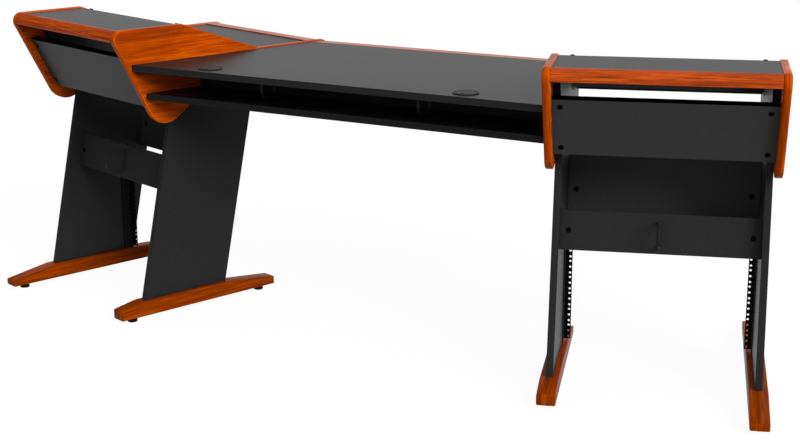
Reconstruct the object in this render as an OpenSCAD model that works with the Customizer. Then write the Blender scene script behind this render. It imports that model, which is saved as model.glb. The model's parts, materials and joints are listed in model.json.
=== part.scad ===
// Studio desk with two turned rack bays, a trapezium desktop and raked legs
// User side is -Y, rear is +Y, up is +Z, millimetres

/* [Whole desk] */
// Height of the desktop above the floor
desk_height = 750; // [720:1:780]
// Half the distance between the bays' inner rear corners
centre_half = 643; // [600:1:760]
// Angle each bay is turned toward the user, in degrees
bay_turn = 18.4; // [14:0.2:22]
// Thickness of the laminated boards
board = 18; // [16:1:20]
// Thickness of the wooden sides
side_board = 20; // [18:1:24]
// Thickness of the wooden lippings along the front of the panels
lipping = 31; // [28:1:34]
// Height of the wooden lippings along the rear of the bays
rear_lipping = 27; // [24:0.5:32]
// Depth of a lipping from the panel to its nose
lipping_depth = 60; // [50:1:76]

/* [Rack bays] */
// Clear width between the two rack legs of a bay
rack_clear = 493; // [488:1:510]
// Height of a bay's top above the desktop
bay_rise = 93; // [84:1:100]
// How far the sides stand above the panels
side_proud = 4; // [2:0.5:6]
// Distance from the rear corner to the start of the slope
slope_start = 243; // [236:1:250]
// Length of the slope measured level
slope_run = 264; // [262:1:280]
// Depth of the wing panel in front of the slope
wing_depth = 195; // [172:1:200]
// Distance from the rear corner to the front tip of the sides
side_reach = 770; // [768:1:800]
// Lean of the rear edge from upright, in degrees
rear_rake = 27; // [25:0.5:29]
// Height of the sides from top edge to the lower rear tip
side_drop = 306; // [296:1:314]
// Upward sweep of the sides' lower edge, in degrees
side_sweep = 36; // [34:0.5:38]
// Depth of the sides' forward arm
arm_depth = 60; // [50:1:70]
// Radius of the lower rear tip of the sides
tip_radius = 60; // [40:1:64]
// Radius of the upper rear corner of the sides
crown_radius = 26; // [16:1:28]

/* [Legs and feet] */
// Distance from the rear corner to the leg's rear edge at the foot
leg_start = 87; // [84:1:95]
// Width of the legs measured level
leg_width = 286; // [280:1:300]
// Forward lean of the legs, in degrees
leg_rake = 12.3; // [11:0.1:13]
// Level distance from the sides' rear edge to the leg's head
head_inset = 75; // [72:1:80]
// Height of the leg's head below the desktop
head_depth = 105; // [100:1:115]
// Height of the foot's underside above the floor
foot_lift = 13.4; // [13:0.2:15]
// Height of the foot rails
foot_height = 42; // [40:1:46]
// Width of the foot rails
foot_width = 48; // [44:1:56]
// Rear end of the inner foot ahead of the rear corner
inner_foot_rear = 0; // [-20:1:10]
// Rear end of the outer foot ahead of the rear corner
outer_foot_rear = -67; // [-80:1:-60]
// Front end of the inner foot ahead of the rear corner
inner_foot_front = 547; // [535:1:580]
// Front end of the outer foot ahead of the rear corner
outer_foot_front = 675; // [660:1:690]
// Diameter of the levelling pads
leveller_pad = 29; // [26:1:34]
// Diameter of the levelling screws
leveller_screw = 8; // [6:0.5:10]
// Radial play of the levelling screws in their bores
leveller_play = 0.05; // [0.04:0.01:0.1]

/* [Panels between the legs] */
// Height of the rear cover's lower edge below the desktop
cover_drop = 133.5; // [128:0.5:138]
// Upright height of the rear cover
cover_height = 148; // [140:0.5:150]
// Level distance from the sides' rear edge to the rear cover
cover_inset = 21; // [16:1:24]
// Height of the crossbar's lower edge
crossbar_low = 360; // [340:1:370]
// Width of the crossbar board
crossbar_width = 100; // [80:1:110]
// Level distance from the leg's rear edge to the crossbar
crossbar_inset = 37; // [30:1:45]
// Height of the modesty panel's lower edge
modesty_low = 390; // [385:1:400]
// Width of the modesty panel board
modesty_width = 165; // [120:1:170]
// Level distance from the leg's front edge back to the modesty panel
modesty_inset = 30; // [24:1:36]
// Diameter of the cam locks
cam_lock = 14.5; // [12:0.5:15]
// Distance of the cam locks from the board's end
cam_from_end = 20; // [18:1:24]

/* [Desktop and cable tray] */
// Rear edge of the desktop ahead of the bays' rear corner line
desktop_rear = 65; // [55:1:72]
// Front edge of the laminated desktop ahead of that line
desktop_front = 675; // [652:1:680]
// Rear edge of the cable tray ahead of that line
tray_rear = 106; // [100:1:120]
// Depth of the cable tray board
tray_depth = 192; // [180:1:196]
// Clear height of the cable tray
tray_clear = 67; // [65:1:74]
// Distance of the cable outlets from the centre line
outlet_from_centre = 390; // [340:1:420]
// Distance of the cable outlets ahead of the desktop's rear edge
outlet_from_rear = 52; // [45:1:70]
// Diameter of the cable outlet holes
outlet_hole = 60; // [54:1:62]
// Distance of the under-desk cable rings from the centre line
ring_from_centre = 241; // [200:1:320]
// Distance of the under-desk cable rings ahead of the desktop's rear edge
ring_from_rear = 110; // [90:1:140]
// Reach of the cable rings
ring_reach = 61; // [50:1:62]
// Height of the cable rings
ring_height = 66; // [56:1:70]
// Width of the cable ring band
ring_band = 8; // [6:1:12]

/* [Rack standard] */
// Distance between the two columns of rack holes
rack_columns = 465.1; // [464.8:0.1:465.4]
// Diameter of the rack holes
rack_hole = 6; // [5.5:0.1:7]
// Rack units on each leg
leg_units = 7; // [4:1:7]
// Rack units on each slope
slope_units = 6; // [4:1:6]
// Thickness of the rack strip steel
strip_steel = 2; // [1.5:0.5:3]
// Depth of the rack strips' fixing flange
strip_flange = 39; // [30:1:42]
// Distance of the rack face ahead of the rear corner
leg_rack_face = 378; // [376:1:382]

/* [Hidden] */
$fn = 72;

WOOD = [0.62, 0.24, 0.13];
LAMINATE = [0.22, 0.22, 0.23];
BLACK = [0.06, 0.06, 0.06];
STEEL = [0.55, 0.56, 0.58];

rack_unit = 44.45;
hole_first = 6.35;
hole_step = 15.875;
holes_per_unit = 3;
strip_edge_past_hole = 5.5;
strip_fixing = 5;

bay_width = 2 * (side_board + board) + rack_clear;
leg_face = side_board + board;
bay_middle = bay_width / 2;
side_top = desk_height + bay_rise + side_proud;
side_edge = desk_height + side_proud - 1;
bay_top = desk_height + bay_rise;
foot_top = foot_lift + foot_height;
slope_end = slope_start + slope_run;
slope_angle = atan((side_top - side_edge) / slope_run);
under_desk = desk_height - board;
wing_end = slope_end + wing_depth;
head_low = desk_height - head_depth;
cover_low = desk_height - cover_drop;
cover_high = cover_low + cover_height;

rack_set = 4;
strip_lift = 4.3;
strip_margin = 10;
small_round = 2;
joint_gap = 0.3;
cam_gap = 0.15;
through = 40;

rear_most = -(side_board + board / 2 - foot_width / 2) * sin(bay_turn)
    - inner_foot_rear * cos(bay_turn);
front_most = -bay_width * sin(bay_turn) - side_reach * cos(bay_turn);
depth_shift = -(rear_most + front_most) / 2;

function rear_line(height) = (side_top - height) * tan(rear_rake);
function leg_rear(height) = leg_start + (height - foot_top) * tan(leg_rake);
function leg_front(height) = leg_rear(height) + leg_width;
function crossing(p, a, q, b) =
    p + [cos(a), sin(a)] * ((q[0] - p[0]) * sin(b) - (q[1] - p[1]) * cos(b)) / sin(b - a);
function unit(v) = v / norm(v);
function flat(p) = [p[0], p[1]];
function corner_cut(q, p, n) = let(h = acos(unit(q - p) * unit(n - p)) / 2) h;
function is_convex(q, p, n) =
    (p[0] - q[0]) * (n[1] - p[1]) - (p[1] - q[1]) * (n[0] - p[0]) > 0;
function desk_edge(depth) = centre_half - depth * tan(bay_turn);

// Outline through points of forward distance, height and corner radius, listed anticlockwise
module rounded(points) {
    count = len(points);
    corners = [for (i = [0 : count - 1])
        let(q = flat(points[(i + count - 1) % count]), p = flat(points[i]),
            n = flat(points[(i + 1) % count]), r = points[i][2],
            half = corner_cut(q, p, n), reach = r / tan(half))
        [p + unit(q - p) * reach, p + unit(n - p) * reach,
            p + unit(unit(q - p) + unit(n - p)) * r / sin(half), r, is_convex(q, p, n)]];
    difference() {
        union() {
            polygon([for (c = corners) each (c[3] > 0 ? [c[0], c[1]] : [c[0]])]);
            for (i = [0 : count - 1]) if (corners[i][3] > 0 && corners[i][4])
                sector(corners[i], flat(points[i]));
        }
        for (i = [0 : count - 1]) if (corners[i][3] > 0 && !corners[i][4])
            sector(corners[i], flat(points[i]));
    }
}

// The slice of a corner's circle that faces the corner, a hair over size and a little past
// both tangent points, so that the arc crosses the edges cleanly
module sector(c, p) {
    spread = 1.5;
    hair = 0.002;
    past = 0.08 * sqrt(c[3]);
    first = c[0] + unit(c[0] - p) * past;
    last = c[1] + unit(c[1] - p) * past;
    intersection() {
        translate(c[2]) circle(r = c[3] + hair);
        polygon([c[2], c[2] + spread * (first - c[2]), c[2] + spread * (p - c[2]),
            c[2] + spread * (last - c[2])]);
    }
}

// Puts an outline upright at a place across the bay and gives it its thickness
module upright(at, thick)
    translate([at, 0, 0]) rotate([90, 0, 90]) linear_extrude(thick) mirror([1, 0]) children();

module right_bay()
    translate([centre_half, depth_shift, 0]) rotate([0, 0, -bay_turn]) children();

module left_bay() mirror([1, 0, 0]) right_bay() children();

// Puts a child on a leaning face, its own Z pointing out of the face
module on_face(at, place, lean)
    translate([at, -place[0], place[1]]) rotate([-(90 + lean), 0, 0]) children();

// A leaning board given by its lower rear edge, its width and thickness
module leaning_outline(low, lean, wide, thick, soft = 1) {
    along = [-sin(lean), cos(lean)];
    into = [cos(lean), sin(lean)];
    top = low + along * wide;
    rounded([[top[0], top[1], soft], [low[0], low[1], soft],
        [(low + into * thick)[0], (low + into * thick)[1], soft],
        [(top + into * thick)[0], (top + into * thick)[1], soft]]);
}

cover_wide = (cover_high - cover_low) / cos(rear_rake);
cover_foot = [rear_line(cover_low) + cover_inset, cover_low];
cover_cam_set = 21.5;
crossbar_foot = [leg_rear(crossbar_low) + crossbar_inset, crossbar_low];
modesty_foot = [leg_front(modesty_low) - modesty_inset, modesty_low];
modesty_cam_set = 70.6;
dowel = 6;
dowel_in_side = 11;
cam_deep = 12.5;

// Places along a raked face, measured up from its lower edge
function up_face(low, lean, far) = low + [-sin(lean), cos(lean)] * far;

module cover_cam_places()
    for (at = [side_board + cam_from_end, bay_width - side_board - cam_from_end],
         far = [cover_cam_set, cover_wide - cover_cam_set])
        on_face(at, up_face(cover_foot, rear_rake, far), rear_rake) children();

module crossbar_cam_places()
    for (at = [leg_face + cam_from_end, bay_width - leg_face - cam_from_end])
        on_face(at, up_face(crossbar_foot, -leg_rake, crossbar_width / 2), -leg_rake) children();

module modesty_cam_places()
    for (at = [leg_face + cam_from_end, bay_width - leg_face - cam_from_end])
        on_face(at, up_face(modesty_foot, -leg_rake, modesty_cam_set), -leg_rake) children();

module cam_pocket()
    translate([0, 0, -cam_deep - cam_gap]) cylinder(d = cam_lock + 2 * cam_gap, h = through);

// Dowel beside a cam lock, from the lock's edge outward
module dowel_run(play, reach) {
    start = play > 0 ? cam_lock / 4 : cam_lock / 2 + joint_gap;
    translate([0, 0, -board / 2]) rotate([0, 90, 0])
        translate([0, 0, start]) cylinder(d = dowel + 2 * play, h = reach - start);
}

dowel_reach = cam_from_end + dowel_in_side;

// Runs toward the nearer end of the board on both halves of the bay
module toward_ends(low, lean, far, from_end) {
    on_face(from_end, up_face(low, lean, far), lean) mirror([1, 0, 0]) children();
    on_face(bay_width - from_end, up_face(low, lean, far), lean) children();
}

module cover_dowels(play, extra = 0)
    for (far = [cover_cam_set, cover_wide - cover_cam_set])
        toward_ends(cover_foot, rear_rake, far, side_board + cam_from_end)
            dowel_run(play, dowel_reach + extra);

module leg_dowels(play, extra = 0) {
    toward_ends(crossbar_foot, -leg_rake, crossbar_width / 2, leg_face + cam_from_end)
        dowel_run(play, dowel_reach + extra);
    toward_ends(modesty_foot, -leg_rake, modesty_cam_set, leg_face + cam_from_end)
        dowel_run(play, dowel_reach + extra);
}

module side_outline() {
    tip = [rear_line(side_top - side_drop), side_top - side_drop];
    arm_low = side_edge - arm_depth;
    elbow = crossing(tip, side_sweep, [0, arm_low], 0);
    nose = 20;
    rounded([
        [0, side_top, crown_radius],
        [tip[0], tip[1], tip_radius],
        [elbow[0], elbow[1], 60],
        [side_reach, arm_low, nose],
        [side_reach, side_edge, nose],
        [slope_end, side_edge, 0],
        [slope_start, side_top, 0]
    ]);
}

module side_panel(at) difference() {
    upright(at, side_board) side_outline();
    cover_dowels(cam_gap, joint_gap);
}

rack_line = [slope_start, side_top] - [sin(slope_angle), cos(slope_angle)] * rack_set;
function rack_height(forward) = rack_line[1] - (forward - rack_line[0]) * tan(slope_angle);
panel_front = slope_start + side_proud - 1;

module leg_outline() {
    knee = crossing([leg_start, foot_top], 90 - leg_rake,
        [rear_line(under_desk) + head_inset, under_desk], 90 + rear_rake);
    rounded([
        [leg_start, foot_top, 0],
        [leg_start + leg_width, foot_top, 0],
        [leg_front(head_low), head_low, 80],
        [wing_end, head_low, 40],
        [wing_end, under_desk, 0],
        [slope_end, under_desk, 0],
        [slope_end, rack_height(slope_end), 0],
        [panel_front, rack_height(panel_front), 0],
        [panel_front, bay_top - board, 0],
        [rear_line(bay_top - board) + head_inset, bay_top - board, 0],
        [knee[0], knee[1], 30]
    ]);
}

module leg(at) difference() {
    upright(at, board) leg_outline();
    leg_dowels(cam_gap, joint_gap);
}

lip_joint = 36.4;

module top_panel()
    upright(side_board, bay_width - 2 * side_board)
        rounded([[lip_joint, bay_top, 0], [lip_joint, bay_top - board, 0],
            [panel_front, bay_top - board, 0], [panel_front, bay_top, 1]]);

// Rear lipping, its profile the sides' own crown, so that it stands flush with them
module rear_lipping_board()
    upright(side_board, bay_width - 2 * side_board) intersection() {
        side_outline();
        translate([0, side_top - rear_lipping]) square([lip_joint, rear_lipping + 1]);
    }

module wing_panel()
    upright(side_board, bay_width - 2 * side_board)
        rounded([[slope_end, desk_height, 1], [slope_end, under_desk, 1],
            [wing_end, under_desk, 0], [wing_end, desk_height, 0]]);

// Nose of a lipping, forward of the panel it closes
module nose_outline(start, top)
    rounded([[start, top, 0], [start, desk_height - lipping, small_round],
        [start + lipping_depth, desk_height - lipping, 4],
        [start + lipping_depth, top, 26]]);

// Wing lipping, flush with the sides on top
module wing_lipping()
    upright(side_board, bay_width - 2 * side_board) nose_outline(wing_end, side_edge);

module wing_rails() {
    rear_rail = 13;
    apron = 50;
    upright(leg_face, rack_clear)
        translate([slope_end, under_desk - rear_rail]) square([board, rear_rail]);
    upright(leg_face, rack_clear)
        translate([wing_end - board, under_desk - apron]) square([board, apron]);
}

module rear_cover() difference() {
    upright(side_board, bay_width - 2 * side_board)
        leaning_outline(cover_foot, rear_rake, cover_wide, board);
    cover_cam_places() cam_pocket();
    cover_dowels(cam_gap, joint_gap);
}

module crossbar() difference() {
    upright(leg_face, rack_clear)
        leaning_outline(crossbar_foot, -leg_rake, crossbar_width, board);
    crossbar_cam_places() cam_pocket();
    leg_dowels(cam_gap, joint_gap);
}

module modesty_panel() difference() {
    upright(leg_face, rack_clear)
        leaning_outline(modesty_foot, -leg_rake, modesty_width, board);
    modesty_cam_places() cam_pocket();
    leg_dowels(cam_gap, joint_gap);
}

// A cam lock sunk flush in the board, with a crossed driver recess
module cam_lock_body() {
    recess = 2.5;
    slot = [7, 1.6];
    difference() {
        translate([0, 0, -cam_deep]) cylinder(d = cam_lock, h = cam_deep + joint_gap);
        translate([0, 0, -recess]) cylinder(d = cam_lock * 0.32, h = through);
        for (turn = [45, 135]) rotate([0, 0, turn])
            translate([-slot[0] / 2, -slot[1] / 2, -recess]) cube([slot[0], slot[1], through]);
    }
}

module cam_locks() {
    cover_cam_places() cam_lock_body();
    crossbar_cam_places() cam_lock_body();
    modesty_cam_places() cam_lock_body();
}

module cam_dowels() {
    cover_dowels(0);
    leg_dowels(0);
}

// A closed cable ring standing out of the face it is fixed to
module ring_body() {
    wall = 4;
    half = ring_height / 2;
    translate([-ring_band / 2, 0, 0]) rotate([90, 0, 90]) linear_extrude(ring_band)
        difference() {
            rounded([[-half, 0, 6], [half, 0, 6],
                [half, ring_reach, 26], [-half, ring_reach, 26]]);
            rounded([[-half + wall, wall, 4], [half - wall, wall, 4],
                [half - wall, ring_reach - wall, 22], [-half + wall, ring_reach - wall, 22]]);
        }
}

module bay_cable_ring()
    on_face(bay_middle, up_face(crossbar_foot, -leg_rake, crossbar_width / 2), -leg_rake)
        ring_body();

strip_reach = (rack_clear - rack_columns) / 2 + strip_edge_past_hole;

// One rack strip standing on Z, its hole flange in the plane Y = 0 facing -Y
module rack_strip(units) {
    tall = units * rack_unit;
    difference() {
        union() {
            cube([strip_steel, strip_flange, tall]);
            cube([strip_reach, strip_steel, tall]);
        }
        for (u = [0 : units - 1], k = [0 : holes_per_unit - 1])
            translate([(rack_clear - rack_columns) / 2, -1,
                u * rack_unit + hole_first + k * hole_step])
                rotate([-90, 0, 0]) cylinder(d = rack_hole, h = strip_steel + 2);
        for (u = [0 : units - 1])
            translate([-1, strip_flange / 2, (u + 0.5) * rack_unit])
                rotate([0, 90, 0]) cylinder(d = strip_fixing, h = strip_steel + 2);
    }
}

module strip_pair(units) {
    translate([leg_face, 0, 0]) rack_strip(units);
    translate([bay_width - leg_face, 0, 0]) mirror([1, 0, 0]) rack_strip(units);
}

module leg_rack_strips()
    translate([0, -leg_rack_face, foot_top + strip_lift]) strip_pair(leg_units);

// The slope's rack plane, its own Z running up the slope and -Y out of it
module on_slope() {
    start = rack_line + [cos(slope_angle), -sin(slope_angle)]
        * (strip_margin + slope_units * rack_unit);
    translate([0, -start[0], start[1]]) rotate([slope_angle - 90, 0, 0]) children();
}

module bay_rack_strips() on_slope() strip_pair(slope_units);

// Two screws left in the top holes of the slope's strips
module rack_screws() {
    head = 11;
    on_slope() for (at = [bay_middle - rack_columns / 2, bay_middle + rack_columns / 2])
        translate([at, 0, (slope_units - 1) * rack_unit + hole_first + 2 * hole_step])
            rotate([90, 0, 0]) {
                difference() {
                    cylinder(d = head, h = 5);
                    translate([0, 0, 2]) cylinder(d = 4, h = through);
                }
                translate([0, 0, -12]) cylinder(d = rack_hole - 0.6, h = 12);
            }
}

foot_bore = 21;
leveller_from_rear = 47;
leveller_from_front = 45;

function foot_side(outer) = (outer ? bay_width - side_board - board / 2
    : side_board + board / 2);
function foot_rear(outer) = outer ? outer_foot_rear : inner_foot_rear;
function foot_front(outer) = outer ? outer_foot_front : inner_foot_front;
function leveller_at(outer, front) = front ? foot_front(outer) - leveller_from_front
    : foot_rear(outer) + leveller_from_rear;

module foot(outer) {
    rear_drop = outer ? 23.4 : 13.4;
    front_drop = 18;
    difference() {
        upright(foot_side(outer) - foot_width / 2, foot_width)
            rounded([[foot_rear(outer), foot_top - rear_drop, 4],
                [foot_rear(outer), foot_lift, 3],
                [foot_front(outer), foot_lift, 3],
                [foot_front(outer), foot_top - front_drop, 4],
                [leg_start + leg_width + 2, foot_top, 0],
                [leg_start - 14, foot_top, 0]]);
        for (front = [false, true])
            translate([foot_side(outer), -leveller_at(outer, front), -1])
                cylinder(d = leveller_screw + 2 * leveller_play, h = foot_lift + foot_bore + 1);
    }
}

// A levelling foot: pad on the floor, screw running in the foot rail
module leveller(outer, front)
    translate([foot_side(outer), -leveller_at(outer, front), 0]) rotate_extrude()
        rounded([[0, 0, 0], [leveller_pad / 2, 0, 1], [leveller_pad / 2, 8, 1.5],
            [leveller_pad / 2 - 3, 8, 0],
            [leveller_pad / 2 - 3, foot_lift - joint_gap, 1],
            [leveller_screw / 2, foot_lift - joint_gap, 0],
            [leveller_screw / 2, foot_lift + foot_bore - 1, 1],
            [0, foot_lift + foot_bore - 1, 0]]);

module desk_plan(rear, front)
    polygon([[-desk_edge(rear), -rear], [-desk_edge(front), -front],
        [desk_edge(front), -front], [desk_edge(rear), -rear]]);

module outlet_places()
    for (x = [-outlet_from_centre, outlet_from_centre])
        translate([x, -desktop_rear - outlet_from_rear, desk_height]) children();

module desktop() difference() {
    translate([0, 0, under_desk]) linear_extrude(board) desk_plan(desktop_rear, desktop_front);
    outlet_places() cylinder(d = outlet_hole, h = through, center = true);
}

module desktop_lipping() intersection() {
    upright(-centre_half, 2 * centre_half) nose_outline(desktop_front, desk_height);
    linear_extrude(desk_height + 1)
        desk_plan(desktop_front, desktop_front + lipping_depth);
}

tray_top = under_desk - tray_clear;
tray_front = tray_rear + tray_depth;

module lower_board()
    translate([0, 0, tray_top - board]) linear_extrude(board) desk_plan(tray_rear, tray_front);

module cable_panel()
    translate([0, 0, tray_top]) linear_extrude(tray_clear)
        desk_plan(tray_front - board, tray_front);

module desk_cable_rings()
    for (x = [-ring_from_centre, ring_from_centre])
        translate([x, -desktop_rear - ring_from_rear, under_desk]) rotate([180, 0, 0]) ring_body();

sleeve_wall = 3;
ledge = 2;
flange = 3.5;
cap_thick = 4.5;
cap_play = 0.3;

// Sleeve of a cable outlet: flange on the desktop, tube through it, ledge for the cap
module outlet_sleeves() outlet_places() {
    tube = outlet_hole / 2 - 0.1;
    rotate_extrude() rounded([
        [tube - sleeve_wall - ledge, -4, 0.4],
        [tube - sleeve_wall - ledge, -6, 0.4],
        [tube - sleeve_wall, -6 - ledge, 0],
        [tube - sleeve_wall, -board + 1, 0.4],
        [tube, -board + 1, 0.4],
        [tube, 0, 0],
        [outlet_hole / 2 + flange, 0, 0],
        [outlet_hole / 2 + flange, 3, 1.5],
        [tube - sleeve_wall, 3, 0.5],
        [tube - sleeve_wall, -4, 0]
    ]);
}

// Lift-out cap with a notch for cables, resting a hair above the ledge
module outlet_cap(side) translate([side * outlet_from_centre,
    -desktop_rear - outlet_from_rear, desk_height]) {
    tube = outlet_hole / 2 - 0.1 - sleeve_wall - cap_play;
    notch = 11;
    difference() {
        translate([0, 0, -4 + cap_play]) rotate_extrude()
            rounded([[0, 0, 0], [tube, 0, 0], [tube, cap_thick + 2, 1.5], [0, cap_thick + 2, 0]]);
        translate([0, tube - notch / 2, -through / 2]) {
            cylinder(d = notch, h = through);
            translate([-notch / 2, 0, 0]) cube([notch, notch, through]);
        }
    }
}

module centre() translate([0, depth_shift, 0]) children();

module right_inner_side_node() color(WOOD) right_bay() side_panel(0);
module right_outer_side_node() color(WOOD) right_bay() side_panel(bay_width - side_board);
module right_top_panel_node() color(LAMINATE) right_bay() top_panel();
module right_rear_lipping_node() color(WOOD) right_bay() rear_lipping_board();
module right_wing_panel_node() color(LAMINATE) right_bay() wing_panel();
module right_wing_lipping_node() color(WOOD) right_bay() wing_lipping();
module right_rear_cover_node() color(LAMINATE) right_bay() rear_cover();
module right_inner_leg_node() color(LAMINATE) right_bay() leg(side_board);
module right_outer_leg_node() color(LAMINATE) right_bay() leg(bay_width - leg_face);
module right_modesty_panel_node() color(LAMINATE) right_bay() modesty_panel();
module right_crossbar_node() color(LAMINATE) right_bay() crossbar();
module right_cam_locks_node() color(BLACK) right_bay() cam_locks();
module right_cam_dowels_node() color(STEEL) right_bay() cam_dowels();
module right_cable_ring_node() color(BLACK) right_bay() bay_cable_ring();
module right_leg_rack_strips_node() color(STEEL) right_bay() leg_rack_strips();
module right_bay_rack_strips_node() color(STEEL) right_bay() bay_rack_strips();
module right_rack_screws_node() color(BLACK) right_bay() rack_screws();
module right_wing_rails_node() color(LAMINATE) right_bay() wing_rails();
module right_inner_foot_node() color(WOOD) right_bay() foot(false);
module right_outer_foot_node() color(WOOD) right_bay() foot(true);
module right_inner_rear_leveller_node() color(BLACK) right_bay() leveller(false, false);
module right_inner_front_leveller_node() color(BLACK) right_bay() leveller(false, true);
module right_outer_rear_leveller_node() color(BLACK) right_bay() leveller(true, false);
module right_outer_front_leveller_node() color(BLACK) right_bay() leveller(true, true);
module left_inner_side_node() color(WOOD) left_bay() side_panel(0);
module left_outer_side_node() color(WOOD) left_bay() side_panel(bay_width - side_board);
module left_top_panel_node() color(LAMINATE) left_bay() top_panel();
module left_rear_lipping_node() color(WOOD) left_bay() rear_lipping_board();
module left_wing_panel_node() color(LAMINATE) left_bay() wing_panel();
module left_wing_lipping_node() color(WOOD) left_bay() wing_lipping();
module left_rear_cover_node() color(LAMINATE) left_bay() rear_cover();
module left_inner_leg_node() color(LAMINATE) left_bay() leg(side_board);
module left_outer_leg_node() color(LAMINATE) left_bay() leg(bay_width - leg_face);
module left_modesty_panel_node() color(LAMINATE) left_bay() modesty_panel();
module left_crossbar_node() color(LAMINATE) left_bay() crossbar();
module left_cam_locks_node() color(BLACK) left_bay() cam_locks();
module left_cam_dowels_node() color(STEEL) left_bay() cam_dowels();
module left_cable_ring_node() color(BLACK) left_bay() bay_cable_ring();
module left_leg_rack_strips_node() color(STEEL) left_bay() leg_rack_strips();
module left_bay_rack_strips_node() color(STEEL) left_bay() bay_rack_strips();
module left_rack_screws_node() color(BLACK) left_bay() rack_screws();
module left_wing_rails_node() color(LAMINATE) left_bay() wing_rails();
module left_inner_foot_node() color(WOOD) left_bay() foot(false);
module left_outer_foot_node() color(WOOD) left_bay() foot(true);
module left_inner_rear_leveller_node() color(BLACK) left_bay() leveller(false, false);
module left_inner_front_leveller_node() color(BLACK) left_bay() leveller(false, true);
module left_outer_rear_leveller_node() color(BLACK) left_bay() leveller(true, false);
module left_outer_front_leveller_node() color(BLACK) left_bay() leveller(true, true);
module desktop_node() color(LAMINATE) centre() desktop();
module desktop_lipping_node() color(WOOD) centre() desktop_lipping();
module lower_board_node() color(LAMINATE) centre() lower_board();
module cable_panel_node() color(LAMINATE) centre() cable_panel();
module desk_cable_rings_node() color(BLACK) centre() desk_cable_rings();
module outlet_sleeves_node() color(BLACK) centre() outlet_sleeves();
module right_outlet_cap_node() color(BLACK) centre() outlet_cap(1);
module left_outlet_cap_node() color(BLACK) centre() outlet_cap(-1);

right_inner_side_node();  // right_inner_side
right_outer_side_node();  // right_outer_side
right_top_panel_node();  // right_top_panel
right_rear_lipping_node();  // right_rear_lipping
right_wing_panel_node();  // right_wing_panel
right_wing_lipping_node();  // right_wing_lipping
right_rear_cover_node();  // right_rear_cover
right_inner_leg_node();  // right_inner_leg
right_outer_leg_node();  // right_outer_leg
right_modesty_panel_node();  // right_modesty_panel
right_crossbar_node();  // right_crossbar
right_cam_locks_node();  // right_cam_locks
right_cam_dowels_node();  // right_cam_dowels
right_cable_ring_node();  // right_cable_ring
right_leg_rack_strips_node();  // right_leg_rack_strips
right_bay_rack_strips_node();  // right_bay_rack_strips
right_rack_screws_node();  // right_rack_screws
right_wing_rails_node();  // right_wing_rails
right_inner_foot_node();  // right_inner_foot
right_outer_foot_node();  // right_outer_foot
right_inner_rear_leveller_node();  // right_inner_rear_leveller
right_inner_front_leveller_node();  // right_inner_front_leveller
right_outer_rear_leveller_node();  // right_outer_rear_leveller
right_outer_front_leveller_node();  // right_outer_front_leveller
left_inner_side_node();  // left_inner_side
left_outer_side_node();  // left_outer_side
left_top_panel_node();  // left_top_panel
left_rear_lipping_node();  // left_rear_lipping
left_wing_panel_node();  // left_wing_panel
left_wing_lipping_node();  // left_wing_lipping
left_rear_cover_node();  // left_rear_cover
left_inner_leg_node();  // left_inner_leg
left_outer_leg_node();  // left_outer_leg
left_modesty_panel_node();  // left_modesty_panel
left_crossbar_node();  // left_crossbar
left_cam_locks_node();  // left_cam_locks
left_cam_dowels_node();  // left_cam_dowels
left_cable_ring_node();  // left_cable_ring
left_leg_rack_strips_node();  // left_leg_rack_strips
left_bay_rack_strips_node();  // left_bay_rack_strips
left_rack_screws_node();  // left_rack_screws
left_wing_rails_node();  // left_wing_rails
left_inner_foot_node();  // left_inner_foot
left_outer_foot_node();  // left_outer_foot
left_inner_rear_leveller_node();  // left_inner_rear_leveller
left_inner_front_leveller_node();  // left_inner_front_leveller
left_outer_rear_leveller_node();  // left_outer_rear_leveller
left_outer_front_leveller_node();  // left_outer_front_leveller
desktop_node();  // desktop
desktop_lipping_node();  // desktop_lipping
lower_board_node();  // lower_board
cable_panel_node();  // cable_panel
desk_cable_rings_node();  // desk_cable_rings
outlet_sleeves_node();  // outlet_sleeves
right_outlet_cap_node();  // right_outlet_cap
left_outlet_cap_node();  // left_outlet_cap
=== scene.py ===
import json
import math

import bpy
import numpy as np
from mathutils import Matrix, Vector


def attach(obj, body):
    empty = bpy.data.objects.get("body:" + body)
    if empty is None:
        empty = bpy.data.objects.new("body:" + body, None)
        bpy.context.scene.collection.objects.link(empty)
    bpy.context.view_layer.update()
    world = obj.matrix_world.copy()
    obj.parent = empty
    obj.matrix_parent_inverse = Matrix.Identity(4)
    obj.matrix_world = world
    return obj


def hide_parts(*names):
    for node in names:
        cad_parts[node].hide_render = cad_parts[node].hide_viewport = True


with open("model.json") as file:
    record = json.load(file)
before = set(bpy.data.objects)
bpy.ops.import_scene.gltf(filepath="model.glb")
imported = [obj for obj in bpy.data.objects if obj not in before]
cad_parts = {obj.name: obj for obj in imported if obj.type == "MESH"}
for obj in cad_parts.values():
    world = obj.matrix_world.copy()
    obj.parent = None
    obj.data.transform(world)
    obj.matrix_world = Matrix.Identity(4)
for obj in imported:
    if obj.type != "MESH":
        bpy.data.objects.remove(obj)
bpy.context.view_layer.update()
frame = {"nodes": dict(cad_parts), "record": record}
scene = bpy.context.scene
mm = 0.001
print("frame loaded:", len(frame["nodes"]), "nodes")

# Sizes shared by the pieces, in millimetres, as the CAD source has them
desk = dict(
    turn=18.4, rake=27.0, centreHalf=643.0, depthShift=455.9085, bayWidth=569.0,
    sideBoard=20.0, board=18.0, sideTop=847.0, wingTop=753.0, bayTop=843.0, deskTop=750.0,
    slopeStart=243.0, slopeEnd=507.0, wingEnd=702.0, crown=26.0, lipping=31.0,
    footLift=13.4, footTop=55.4,
)
hands = {"right": 1, "left": -1}


# places and outlines

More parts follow.
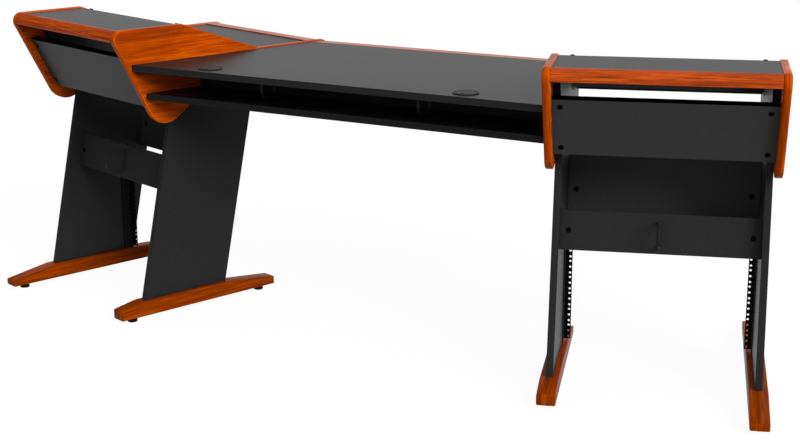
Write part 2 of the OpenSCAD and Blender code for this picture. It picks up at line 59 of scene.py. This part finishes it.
def bayPlace(hand):
    # point = origin + forward * s + up * z + across * a, mirrored by the sign of hand
    turn = math.radians(desk["turn"])
    forward = [-hand * math.sin(turn), -math.cos(turn), 0]
    across = [hand * math.cos(turn), -math.sin(turn), 0]
    origin = [hand * desk["centreHalf"] * mm, desk["depthShift"] * mm, 0]
    return np.array(origin), np.array([forward, [0, 0, 1], across])


def centrePlace():
    # the same for the middle of the desk, with X as the way across
    return np.array([0, desk["depthShift"] * mm, 0]), np.array([[0, -1, 0], [0, 0, 1], [1, 0, 0]])


def unit(v):
    return v / np.linalg.norm(v, axis=-1, keepdims=True)


def softOutline(corners, steps=14):
    # each corner becomes centre + radius * (cos, sin) of an angle run evenly between its
    # two tangent points; a corner of no radius keeps its one point
    c = np.array(corners, float)
    p, r = c[:, :2], c[:, 2:]
    u, v = unit(np.roll(p, 1, 0) - p), unit(np.roll(p, -1, 0) - p)
    half = np.arccos(np.clip((u * v).sum(1, keepdims=True), -1, 1)) / 2
    centre = p + unit(u + v) * r / np.sin(half)
    first = p + u * r / np.tan(half) - centre
    last = p + v * r / np.tan(half) - centre
    begin = np.arctan2(first[:, 1], first[:, 0])
    sweep = (np.arctan2(last[:, 1], last[:, 0]) - begin + np.pi) % (2 * np.pi) - np.pi
    angle = begin[:, None] + sweep[:, None] * np.linspace(0, 1, steps + 1)
    points = centre[:, None] + r[:, None] * np.stack([np.cos(angle), np.sin(angle)], -1)
    points = points.reshape(-1, 2)
    return points[np.linalg.norm(points - np.roll(points, 1, 0), axis=1) > 1e-4]


def finishMesh(name, verts, faces, uvs, node, body="desk", slot=None, flatFaces=0, sharp=35):
    # puts arrays into a mesh, gives it its grain map, shades it and seats it on its body
    mesh = bpy.data.meshes.new(name)
    mesh.from_pydata(verts.tolist(), [], faces)
    mesh.uv_layers.new(name="grainMap").data.foreach_set("uv", uvs.astype(np.float32).ravel())
    smooth = np.ones(len(faces), bool)
    smooth[len(faces) - flatFaces:] = False
    mesh.polygons.foreach_set("use_smooth", smooth)
    mesh.set_sharp_from_angle(angle=math.radians(sharp))
    mesh.update()
    piece = bpy.data.objects.new(name, mesh)
    scene.collection.objects.link(piece)
    if node:
        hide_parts(node)
    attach(piece, body)
    if slot:
        mesh.materials.append(finishes[slot])
    return piece


def slab(name, outline, begin, end, place, rim, slot, grain="face", seed=0.0, node=None):
    # outline carried straight across from begin to end; ring k is the outline moved inward
    # by rim * (1 - sin t) at the depth rim * (1 - cos t), t from 0 to a quarter turn
    origin, axes = place
    n = len(outline)
    edge = unit(np.roll(outline, -1, 0) - outline)
    inward = np.stack([-edge[:, 1], edge[:, 0]], -1)
    before = np.roll(inward, 1, 0)
    mitre = (inward + before) / (1 + (inward * before).sum(1, keepdims=True))
    t = np.linspace(0, np.pi / 2, 5) if rim else np.array([np.pi / 2])
    inset = np.concatenate([rim * (1 - np.sin(t)), rim * (1 - np.sin(t[::-1]))])
    rise = rim * (1 - np.cos(t))
    begin, end = np.broadcast_to(begin, n), np.broadcast_to(end, n)
    depth = np.concatenate([begin + rise[:, None], end - rise[::-1, None]])
    flat = outline + inset[:, None, None] * mitre
    verts = origin + np.concatenate([flat, depth[..., None]], -1).reshape(-1, 3) * mm @ axes
    rings = len(inset)
    k, i = np.meshgrid(np.arange(rings - 1), np.arange(n), indexing="ij")
    j = (i + 1) % n
    quads = np.stack([k * n + i, k * n + j, (k + 1) * n + j, (k + 1) * n + i], -1)
    arc = np.concatenate([[0], np.cumsum(np.linalg.norm(
        np.roll(outline, -1, 0) - outline, axis=1))])
    around = np.stack([arc[i], arc[i + 1], arc[i + 1], arc[i]], -1)
    across = np.stack([depth[k, i], depth[k, j], depth[k + 1, j], depth[k + 1, i]], -1)
    pair = (around, across) if grain == "face" else (across, around)
    sides = np.stack(pair, -1).reshape(-1, 4, 2)
    quads = quads.reshape(-1, 4)
    low, high = np.arange(n)[::-1], (rings - 1) * n + np.arange(n)
    if np.linalg.det(axes) < 0:
        quads, sides, low, high = quads[:, ::-1], sides[:, ::-1], low[::-1], high[::-1]
    ends = np.concatenate([flat.reshape(-1, 2)[low], flat.reshape(-1, 2)[high]])
    uvs = np.concatenate([sides.reshape(-1, 2), ends]) * mm + [seed * 3.7, seed * 1.3]
    faces = quads.tolist() + [low.tolist(), high.tolist()]
    return finishMesh(name, verts, faces, uvs, node or name, slot=slot, flatFaces=2)


def lathe(name, profile, at, slot, body, node, flutes=0, fluteDepth=0.0, around=72):
    # radius(angle, k) = profile radius * (1 - fluteDepth * (1 - cos(flutes * angle)) / 2);
    # the first and last profile points lie on the axis and are one vertex each
    r, z = np.array(profile, float).T
    angle = np.arange(around) * 2 * np.pi / around
    groove = 1 - fluteDepth * (1 - np.cos(flutes * angle)) / 2 * (r[1:-1, None] > 0.9 * r.max())
    ring = r[1:-1, None] * groove
    grid = np.stack([ring * np.cos(angle), ring * np.sin(angle),
                     np.broadcast_to(z[1:-1, None], ring.shape)], -1).reshape(-1, 3)
    verts = np.concatenate([grid, [[0, 0, z[0]], [0, 0, z[-1]]]]) * mm + at
    rows = len(r) - 2
    k, i = np.meshgrid(np.arange(rows - 1), np.arange(around), indexing="ij")
    j = (i + 1) % around
    quads = np.stack([k * around + i, k * around + j, (k + 1) * around + j,
                      (k + 1) * around + i], -1).reshape(-1, 4)
    i = np.arange(around)
    j = (i + 1) % around
    last = (rows - 1) * around
    bottom = np.stack([j, i, np.full(around, rows * around)], -1)
    top = np.stack([last + i, last + j, np.full(around, rows * around + 1)], -1)
    faces = quads.tolist() + bottom.tolist() + top.tolist()
    corner = np.concatenate([quads.ravel(), bottom.ravel(), top.ravel()])
    uvs = verts[corner][:, [0, 2]]
    return finishMesh(name, verts, faces, uvs, node, body=body, slot=slot, sharp=40)


# finishes

def shader(name):
    # an empty material with its Principled shader
    material = bpy.data.materials.new(name)
    material.use_nodes = True
    nodes = material.node_tree.nodes
    return material, nodes, material.node_tree.links, nodes["Principled BSDF"]


def noise(nodes, links, source, scale, size=1.0, detail=3.0, rough=0.5, place=(0, 0, 0)):
    # a noise whose grid is stretched by scale on each axis
    mapping = nodes.new("ShaderNodeMapping")
    mapping.inputs["Scale"].default_value = scale
    mapping.inputs["Location"].default_value = place
    links.new(source, mapping.inputs["Vector"])
    cloud = nodes.new("ShaderNodeTexNoise")
    cloud.inputs["Scale"].default_value = size
    cloud.inputs["Detail"].default_value = detail
    cloud.inputs["Roughness"].default_value = rough
    links.new(mapping.outputs["Vector"], cloud.inputs["Vector"])
    return cloud.outputs["Fac"]


def spread(nodes, links, value, low, high, outLow=0.0, outHigh=1.0):
    # value from low..high carried to outLow..outHigh and held there
    span = nodes.new("ShaderNodeMapRange")
    for socket, number in (("From Min", low), ("From Max", high),
                           ("To Min", outLow), ("To Max", outHigh)):
        span.inputs[socket].default_value = number
    links.new(value, span.inputs["Value"])
    return span.outputs["Result"]


def mixColour(nodes, links, share, first, second, kind="MIX"):
    # first and second mixed by share; either is a colour or a socket
    mix = nodes.new("ShaderNodeMix")
    mix.data_type = "RGBA"
    mix.blend_type = kind
    for socket, value in ((mix.inputs["Factor"], share), (mix.inputs[6], first),
                          (mix.inputs[7], second)):
        if isinstance(value, (tuple, list, float, int)):
            socket.default_value = value
        else:
            links.new(value, socket)
    return mix.outputs[2]


def bump(nodes, links, height, strength, distance, normal=None):
    # height turned into a change of the surface's normal
    node = nodes.new("ShaderNodeBump")
    node.inputs["Strength"].default_value = strength
    node.inputs["Distance"].default_value = distance
    links.new(height, node.inputs["Height"])
    if normal:
        links.new(normal, node.inputs["Normal"])
    return node.outputs["Normal"]


def linear(red, green, blue):
    # 0-255 screen colour to the linear colour that a shader takes
    c = np.array([red, green, blue]) / 255
    c = np.where(c <= 0.04045, c / 12.92, ((c + 0.055) / 1.055) ** 2.4)
    return (*c.tolist(), 1.0)


def woodFinish(name, look):
    # lacquered veneer: wavering broad streaks, fine fibres and short dark pores along U
    material, nodes, links, face = shader(name)
    uv = nodes.new("ShaderNodeUVMap")
    uv.uv_map = "grainMap"
    flow = noise(nodes, links, uv.outputs["UV"], (3.0, 9.0, 1.0), detail=2)
    shift = spread(nodes, links, flow, 0.2, 0.8, -look["waver"], look["waver"])
    bend = nodes.new("ShaderNodeCombineXYZ")
    links.new(shift, bend.inputs["Y"])
    bent = nodes.new("ShaderNodeVectorMath")
    links.new(uv.outputs["UV"], bent.inputs[0])
    links.new(bend.outputs["Vector"], bent.inputs[1])
    grain = bent.outputs["Vector"]
    broad = noise(nodes, links, grain, (2.2, look["broad"], 1.0), detail=3, rough=0.6)
    fibre = noise(nodes, links, grain, (9.0, look["fibre"], 1.0), detail=3, rough=0.65,
                  place=(5.1, 2.3, 0))
    pores = noise(nodes, links, grain, (look["poreRun"], look["pores"], 1.0), detail=1,
                  place=(1.7, 8.9, 0))
    cloudy = noise(nodes, links, grain, (3.0, 5.0, 1.0), detail=2, place=(9.4, 4.2, 0))
    ramp = nodes.new("ShaderNodeValToRGB")
    tones = ramp.color_ramp.elements
    tones[0].position, tones[0].color = look["ramp"][0], linear(*look["dark"])
    tones[1].position, tones[1].color = look["ramp"][1], linear(*look["light"])
    middle = tones.new(0.5)
    middle.color = linear(*look["middle"])
    links.new(broad, ramp.inputs["Fac"])
    lines = spread(nodes, links, fibre, *look["lineSpan"])
    colour = mixColour(nodes, links, lines, linear(*look["line"]), ramp.outputs["Color"])
    colour = mixColour(nodes, links, look["lineShare"], ramp.outputs["Color"], colour)
    marks = spread(nodes, links, pores, *look["poreSpan"], 0.0, look["poreShare"])
    colour = mixColour(nodes, links, marks, colour, linear(*look["pore"]))
    tint = spread(nodes, links, cloudy, *look["cloudSpan"], 0.0, look["cloudShare"])
    colour = mixColour(nodes, links, tint, colour, linear(*look["cloud"]))
    links.new(colour, face.inputs["Base Color"])
    links.new(spread(nodes, links, fibre, 0.3, 0.7, look["rough"] + 0.05, look["rough"] - 0.05),
              face.inputs["Roughness"])
    links.new(bump(nodes, links, fibre, 0.25, 0.0004), face.inputs["Normal"])
    face.inputs["Specular IOR Level"].default_value = look["gloss"]
    return material


def boardFinish(name, look):
    # laminate: a fine mottle in the tone, a grainy sheen and an even pebbled bump
    material, nodes, links, face = shader(name)
    here = nodes.new("ShaderNodeTexCoord").outputs["Object"]
    mottle = noise(nodes, links, here, (1, 1, 1), look["mottle"], detail=4, rough=0.6)
    speck = noise(nodes, links, here, (1, 1, 1), look["speck"], detail=2, rough=0.5)
    tone = mixColour(nodes, links, spread(nodes, links, mottle, 0.35, 0.65),
                     linear(*look["low"]), linear(*look["high"]))
    tone = mixColour(nodes, links, spread(nodes, links, speck, 0.6, 0.75, 0.0, 0.35),
                     tone, linear(*look["fleck"]))
    if "topEdgeShade" in look:  # painted shade: an edge that faces up, like the cover's top edge under the lipping, is coloured black
        facing = nodes.new("ShaderNodeSeparateXYZ")
        links.new(nodes.new("ShaderNodeNewGeometry").outputs["True Normal"],
                  facing.inputs["Vector"])
        upwardShade = spread(nodes, links, facing.outputs["Z"], 0.68, 0.72)
        tone = mixColour(nodes, links, upwardShade, tone, linear(*look["topEdgeShade"]))
    links.new(tone, face.inputs["Base Color"])
    links.new(spread(nodes, links, speck, 0.3, 0.7, look["rough"] - 0.06, look["rough"] + 0.06),
              face.inputs["Roughness"])
    links.new(bump(nodes, links, speck, look["bump"], 0.0003), face.inputs["Normal"])
    face.inputs["Specular IOR Level"].default_value = look["gloss"]
    return material


def metalFinish(name, look):
    # coated or plain steel: orange-peel bump, cloudy sheen and a paler tone in patches
    material, nodes, links, face = shader(name)
    here = nodes.new("ShaderNodeTexCoord").outputs["Object"]
    peel = noise(nodes, links, here, (1, 1, 1), look["peel"], detail=2)
    patch = noise(nodes, links, here, (1, 1, 1), look["patch"], detail=3)
    tone = mixColour(nodes, links, spread(nodes, links, patch, 0.35, 0.7),
                     linear(*look["low"]), linear(*look["high"]))
    links.new(tone, face.inputs["Base Color"])
    links.new(spread(nodes, links, patch, 0.3, 0.7, look["rough"] - 0.08, look["rough"] + 0.08),
              face.inputs["Roughness"])
    links.new(bump(nodes, links, peel, look["bump"], 0.0002), face.inputs["Normal"])
    face.inputs["Metallic"].default_value = look["metal"]
    face.inputs["Specular IOR Level"].default_value = look["gloss"]
    return material


cherry = dict(
    dark=(128, 46, 0), middle=(194, 77, 1), light=(228, 102, 4), line=(124, 43, 0),
    lineShare=0.75, pore=(84, 26, 0), poreShare=0.6, cloud=(128, 42, 0), cloudShare=0.55,
    waver=0.004, broad=34.0, fibre=300.0, pores=420.0, poreRun=26.0, rough=0.3,
    gloss=0.02, ramp=(0.34, 0.66), lineSpan=(0.40, 0.56), poreSpan=(0.66, 0.74),
    cloudSpan=(0.3, 0.7),
)
charcoal = dict(
    low=(27, 27, 27), high=(31, 31, 31), fleck=(36, 36, 36), mottle=160, speck=1400,
    rough=0.4, bump=0.04, gloss=0.08,
)
blackPlastic = dict(low=(8, 8, 8), high=(12, 12, 12), fleck=(16, 16, 16), mottle=300,
                    speck=2600, rough=0.45, bump=0.08, gloss=0.08)
blackCoat = dict(low=(5, 5, 5), high=(9, 9, 9), peel=900, patch=14, rough=0.5, bump=0.08,
                 metal=0.0, gloss=0.06)
finishes = {
    "side_wood": woodFinish("side_wood", cherry),
    "lipping_wood": woodFinish("lipping_wood", dict(
        cherry, dark=(150, 54, 4), middle=(190, 73, 4), light=(216, 92, 8), line=(96, 28, 0),
        broad=44.0, fibre=360.0, lineShare=0.8, gloss=0.15)),
    # painted shade: the feet's wood is the sides' cherry set about a fifth darker, for the dimmer
    # light on the feet
    "foot_wood": woodFinish("foot_wood", dict(
        cherry, dark=(96, 33, 0), middle=(147, 57, 1), light=(174, 76, 3), line=(95, 32, 0),
        cloud=(101, 33, 0), broad=50.0)),
    "top_laminate": boardFinish("top_laminate", charcoal),
    # painted shade: the cover's top edge, which faces up under the lipping, is coloured black
    "cover_laminate": boardFinish("cover_laminate", dict(
        charcoal, low=(48, 48, 48), high=(52, 52, 52), fleck=(56, 56, 56),
        topEdgeShade=(0, 0, 0))),
    # painted shade: the legs' laminate is set darker than the covers' for the occlusion around
    # the legs
    "leg_laminate": boardFinish("leg_laminate", dict(
        charcoal, low=(30, 30, 30), high=(34, 34, 34), fleck=(38, 38, 38))),
    "tray_laminate": boardFinish("tray_laminate", dict(
        charcoal, low=(17, 17, 17), high=(21, 21, 21), fleck=(26, 26, 26))),
    "cam_plastic": boardFinish("cam_plastic", dict(
        blackPlastic, low=(2, 2, 2), high=(4, 4, 4), fleck=(6, 6, 6), gloss=0.03)),
    "dowel_steel": metalFinish("dowel_steel", dict(blackCoat, low=(150, 152, 156), gloss=0.5,
                                                   high=(180, 182, 186), metal=1.0, rough=0.35)),
    "ring_plastic": boardFinish("ring_plastic", dict(
        blackPlastic, low=(28, 28, 28), high=(32, 32, 32), fleck=(36, 36, 36))),
    "strip_metal": metalFinish("strip_metal", blackCoat),
    "screw_metal": metalFinish("screw_metal", blackCoat),
    "pad_plastic": boardFinish("pad_plastic", blackPlastic),
    "outlet_plastic": boardFinish("outlet_plastic", dict(charcoal, rough=0.5)),
}
for row in frame["record"]["subparts"]:
    for place in frame["nodes"][row["node"]].material_slots:
        place.material = finishes[row["material_slot"]]
# painted shade: the crossbars get a darker copy of the covers' laminate, for the shade they lie
# in under the covers
shadedBarFinish = boardFinish("bar_laminate_shaded", dict(
    charcoal, low=(32, 32, 32), high=(36, 36, 36), fleck=(40, 40, 40)))
for label in hands:
    for place in frame["nodes"][f"{label}_crossbar"].material_slots:
        place.material = shadedBarFinish
print("finishes made:", len(finishes))


# wooden sides

side = dict(drop=306.0, sweep=36.0, arm=60.0, reach=770.0, tip=60, elbow=60, nose=20,
            rim=3.5)


def rearLine(height):
    # forward distance of the raked rear edge at a height
    return (desk["sideTop"] - height) * math.tan(math.radians(desk["rake"]))


tipLow, armLow = desk["sideTop"] - side["drop"], desk["wingTop"] - side["arm"]
elbow = rearLine(tipLow) + (armLow - tipLow) / math.tan(math.radians(side["sweep"]))
sideShape = softOutline([
    [0, desk["sideTop"], desk["crown"]], [rearLine(tipLow), tipLow, side["tip"]],
    [elbow, armLow, side["elbow"]], [side["reach"], armLow, side["nose"]],
    [side["reach"], desk["wingTop"], side["nose"]], [desk["slopeEnd"], desk["wingTop"], 0],
    [desk["slopeStart"], desk["sideTop"], 0]])
for label, hand in hands.items():
    for k, (name, at) in enumerate((("inner", 0.0),
                                    ("outer", desk["bayWidth"] - desk["sideBoard"]))):
        slab(f"{label}SidePanel.{name}", sideShape, at, at + desk["sideBoard"], bayPlace(hand),
             side["rim"], "side_wood", seed=1 + k + (hand < 0) * 2, node=f"{label}_{name}_side")
print("sides made")

# lippings

lip = dict(joint=36.4, reach=80.0, deep=780.0, rear=32.5, foot=2, depth=60.0, nose=26,
           under=4, desk=675.0)
rearLow = desk["sideTop"] - lip["rear"]
crownReach = desk["crown"] / math.tan(math.radians(90 - desk["rake"]) / 2)
crownDrop = desk["crown"] - desk["sideTop"]
jointTop = math.sqrt(desk["crown"] ** 2 - (crownReach - lip["joint"]) ** 2) - crownDrop
rearFoot = crownReach - math.sqrt(desk["crown"] ** 2 - (rearLow + crownDrop) ** 2)
crownShape = softOutline([
    [0, desk["sideTop"], desk["crown"]], [rearLine(lip["deep"]), lip["deep"], 0],
    [lip["reach"], lip["deep"], 0], [lip["reach"], desk["sideTop"], 0]], steps=24)
inLip = (crownShape[:, 0] < lip["joint"] - 0.1) & (crownShape[:, 1] > rearLow + 0.1)
rearShape = np.concatenate([crownShape[inLip], [
    [rearFoot, rearLow], [lip["joint"], rearLow], [lip["joint"], jointTop]]])


def noseShape(start, top):
    # rounded nose closing a panel that ends at start
    low, far = desk["deskTop"] - desk["lipping"], start + lip["depth"]
    return softOutline([[start, top, 0], [start, low, lip["foot"]], [far, low, lip["under"]],
                        [far, top, lip["nose"]]], steps=12)


inside = (desk["sideBoard"], desk["bayWidth"] - desk["sideBoard"])
for label, hand in hands.items():
    slab(f"{label}RearLipping", rearShape, *inside, bayPlace(hand), 0, "lipping_wood",
         grain="length", seed=6 + (hand < 0), node=f"{label}_rear_lipping")
    slab(f"{label}WingLipping", noseShape(desk["wingEnd"], desk["wingTop"]), *inside,
         bayPlace(hand), 0, "lipping_wood", grain="length", seed=8 + (hand < 0),
         node=f"{label}_wing_lipping")
deskNose = noseShape(lip["desk"], desk["deskTop"])
deskHalf = desk["centreHalf"] - deskNose[:, 0] * math.tan(math.radians(desk["turn"]))
slab("deskLipping", deskNose, -deskHalf, deskHalf, centrePlace(), 0, "lipping_wood",
     grain="length", seed=10, node="desktop_lipping")
print("lippings made")

# legs

legs = dict(start=87.0, wide=286.0, rake=12.3, headLow=645.0, inset=75.0,
            rackSet=4.0, panelFront=246.0, bend=80, corner=40, knee=30, rim=0.8)
under = desk["deskTop"] - desk["board"]
topUnder = desk["bayTop"] - desk["board"]
slopeTilt = math.atan((desk["sideTop"] - desk["wingTop"])
                      / (desk["slopeEnd"] - desk["slopeStart"]))


def rackHeight(forward):
    # height of the rack line, the slope's edge moved inward by rackSet
    ahead = forward - desk["slopeStart"] + legs["rackSet"] * math.sin(slopeTilt)
    return desk["sideTop"] - legs["rackSet"] * math.cos(slopeTilt) - ahead * math.tan(slopeTilt)


lean, rake = math.tan(math.radians(legs["rake"])), math.tan(math.radians(desk["rake"]))
headRear = rearLine(under) + legs["inset"]
kneeLow = desk["footTop"] + (headRear - legs["start"] + rake * (under - desk["footTop"])) \
    / (lean + rake)
legShape = softOutline([
    [legs["start"], desk["footTop"], 0], [legs["start"] + legs["wide"], desk["footTop"], 0],
    [legs["start"] + legs["wide"] + (legs["headLow"] - desk["footTop"]) * lean,
     legs["headLow"], legs["bend"]],
    [desk["wingEnd"], legs["headLow"], legs["corner"]], [desk["wingEnd"], under, 0],
    [desk["slopeEnd"], under, 0], [desk["slopeEnd"], rackHeight(desk["slopeEnd"]), 0],
    [legs["panelFront"], rackHeight(legs["panelFront"]), 0], [legs["panelFront"], topUnder, 0],
    [rearLine(topUnder) + legs["inset"], topUnder, 0],
    [legs["start"] + (kneeLow - desk["footTop"]) * lean, kneeLow, legs["knee"]]])
for label, hand in hands.items():
    for name, at in (("inner", desk["sideBoard"]),
                     ("outer", desk["bayWidth"] - desk["sideBoard"] - desk["board"])):
        slab(f"{label}Leg.{name}", legShape, at, at + desk["board"], bayPlace(hand),
             legs["rim"], "leg_laminate", node=f"{label}_{name}_leg")
print("legs made")

# feet and levellers

foot = dict(wide=48.0, front={"inner": 547.0, "outer": 675.0},
            rear={"inner": 0.0, "outer": -67.0},
            rearDrop={"inner": 13.4, "outer": 23.4}, frontDrop=18.0, taper=(73.0, 375.0),
            at={"inner": 29.0, "outer": 540.0}, rim=3.5)
pad = dict(wide=14.5, tall=8.0, fromRear=47.0, fromFront=45.0, screw=4.0, deep=20.0,
           flutes=18, fluteDepth=0.05)


def padProfile():
    # radius and height up the axis: pad, hub and screw
    w, tall, top = pad["wide"], pad["tall"], desk["footLift"] - 0.3
    return [(0, 0), (w - 1.5, 0), (w - 0.4, 0.4), (w, 1.4), (w, tall - 1.6),
            (w - 0.5, tall - 0.4), (w - 1.6, tall), (w - 3, tall),
            (w - 3, top - 1), (w - 4, top), (pad["screw"], top),
            (pad["screw"], top + pad["deep"]), (pad["screw"] - 1, top + pad["deep"] + 1),
            (0, top + pad["deep"] + 1)]


for label, hand in hands.items():
    origin, axes = bayPlace(hand)
    for k, name in enumerate(("inner", "outer")):
        rear, front = foot["rear"][name], foot["front"][name]
        shape = softOutline([
            [rear, desk["footTop"] - foot["rearDrop"][name], 4], [rear, desk["footLift"], 3],
            [front, desk["footLift"], 3], [front, desk["footTop"] - foot["frontDrop"], 4],
            [foot["taper"][1], desk["footTop"], 0], [foot["taper"][0], desk["footTop"], 0]], 8)
        middle = foot["at"][name]
        slab(f"{label}Foot.{name}", shape, middle - foot["wide"] / 2, middle + foot["wide"] / 2,
             (origin, axes), foot["rim"], "foot_wood", seed=11 + k + (hand < 0) * 2,
             node=f"{label}_{name}_foot")
        for end, s in (("rear", rear + pad["fromRear"]),
                       ("front", front - pad["fromFront"])):
            body = f"{label}_{name}_{end}_leveller"
            lathe(f"{label}Leveller.{name}.{end}", padProfile(),
                  origin + np.array([s, 0, middle]) * mm @ axes, "pad_plastic", body, body,
                  pad["flutes"], pad["fluteDepth"])
print("feet made")

# floor, light and camera

def plainlySeen(nodes, links):
    # 1 for the rays that see, mirror or look through, 0 for those that carry soft light
    path = nodes.new("ShaderNodeLightPath")
    total = path.outputs["Is Camera Ray"]
    for name in ("Is Glossy Ray", "Is Transmission Ray"):
        add = nodes.new("ShaderNodeMath")
        add.operation = "ADD"
        add.use_clamp = True
        links.new(total, add.inputs[0])
        links.new(path.outputs[name], add.inputs[1])
        total = add.outputs["Value"]
    return total


def makeFloor():
    # a wide white sheet that keeps the desk's shadow but shows near white to the camera
    ground = dict(half=30.0, matt=0.3, shown=0.95)
    mesh = bpy.data.meshes.new("studioFloor")
    half = ground["half"]
    mesh.from_pydata([(-half, -half, 0), (half, -half, 0), (half, half, 0), (-half, half, 0)],
                     [], [(0, 1, 2, 3)])
    floor = bpy.data.objects.new("studioFloor", mesh)
    scene.collection.objects.link(floor)
    material, nodes, links, face = shader("studioFloor")
    nodes.remove(face)
    matt = nodes.new("ShaderNodeBsdfDiffuse")
    matt.inputs["Color"].default_value = (*[ground["matt"]] * 3, 1)
    pale = nodes.new("ShaderNodeBsdfDiffuse")
    pale.inputs["Color"].default_value = (1, 1, 1, 1)
    glow = nodes.new("ShaderNodeEmission")
    glow.inputs["Strength"].default_value = 1.0
    shown = nodes.new("ShaderNodeMixShader")
    shown.inputs["Fac"].default_value = ground["shown"]
    links.new(pale.outputs["BSDF"], shown.inputs[1])
    links.new(glow.outputs["Emission"], shown.inputs[2])
    choice = nodes.new("ShaderNodeMixShader")
    links.new(plainlySeen(nodes, links), choice.inputs["Fac"])
    links.new(matt.outputs["BSDF"], choice.inputs[1])
    links.new(shown.outputs["Shader"], choice.inputs[2])
    links.new(choice.outputs["Shader"], nodes["Material Output"].inputs["Surface"])
    mesh.materials.append(material)


def makeLight():
    # white surround that lights less than it shows, and one wide soft lamp from the side
    lamp = dict(soft=0.65, power=3.3, wide=30, toward=(0.70, -0.36, -0.44))
    world = bpy.data.worlds.new("studio")
    world.use_nodes = True
    nodes, links = world.node_tree.nodes, world.node_tree.links
    shown = nodes["Background"]
    shown.inputs["Color"].default_value = (1, 1, 1, 1)
    shown.inputs["Strength"].default_value = 1.0
    gentle = nodes.new("ShaderNodeBackground")
    gentle.inputs["Color"].default_value = (1, 1, 1, 1)
    gentle.inputs["Strength"].default_value = lamp["soft"]
    choice = nodes.new("ShaderNodeMixShader")
    links.new(plainlySeen(nodes, links), choice.inputs["Fac"])
    links.new(gentle.outputs["Background"], choice.inputs[1])
    links.new(shown.outputs["Background"], choice.inputs[2])
    links.new(choice.outputs["Shader"], nodes["World Output"].inputs["Surface"])
    scene.world = world
    key = bpy.data.lights.new("key", "SUN")
    key.energy, key.angle = lamp["power"], math.radians(lamp["wide"])
    seat = bpy.data.objects.new("key", key)
    seat.rotation_mode = "QUATERNION"
    seat.rotation_quaternion = Vector(lamp["toward"]).to_track_quat("-Z", "Y")
    seat.visible_glossy = False
    scene.collection.objects.link(seat)
    # a dark card beside the desk, which only mirrors, so the faces turned to it stay deep
    shade = dict(away=4, begin=-2, end=6, top=4, tone=0.02)
    card = bpy.data.meshes.new("darkCard")
    card.from_pydata([(shade["away"], y, z) for y, z in (
        (shade["begin"], 0), (shade["end"], 0), (shade["end"], shade["top"]),
        (shade["begin"], shade["top"]))], [], [(0, 1, 2, 3)])
    flag = bpy.data.objects.new("darkCard", card)
    flag.visible_camera = flag.visible_diffuse = flag.visible_shadow = False
    scene.collection.objects.link(flag)
    material, nodes, links, face = shader("darkCard")
    face.inputs["Base Color"].default_value = (*[shade["tone"]] * 3, 1)
    card.materials.append(material)


def makeCamera():
    # the photograph's viewpoint, solved from the two mirrored bays
    view = dict(at=(-2.0548, 3.6193, 1.4190), yaw=29.47, down=15.13, roll=-0.19, lens=67.62)
    yaw, down, roll = (math.radians(view[name]) for name in ("yaw", "down", "roll"))
    ahead = np.array([math.sin(yaw) * math.cos(down), -math.cos(yaw) * math.cos(down),
                      -math.sin(down)])
    level = unit(np.cross(ahead, [0, 0, 1]))
    upright = np.cross(level, ahead)
    right = level * math.cos(roll) + upright * math.sin(roll)
    up = upright * math.cos(roll) - level * math.sin(roll)
    camera = bpy.data.cameras.new("camera")
    camera.lens, camera.sensor_width = view["lens"], 36
    seat = bpy.data.objects.new("camera", camera)
    turn = np.eye(4)
    turn[:3, :3] = np.stack([right, up, -ahead], 1)
    turn[:3, 3] = view["at"]
    seat.matrix_world = Matrix(turn.tolist())
    scene.collection.objects.link(seat)
    scene.camera = seat


makeFloor()
makeLight()
makeCamera()
scene.view_settings.view_transform = "Standard"
print("stage made")
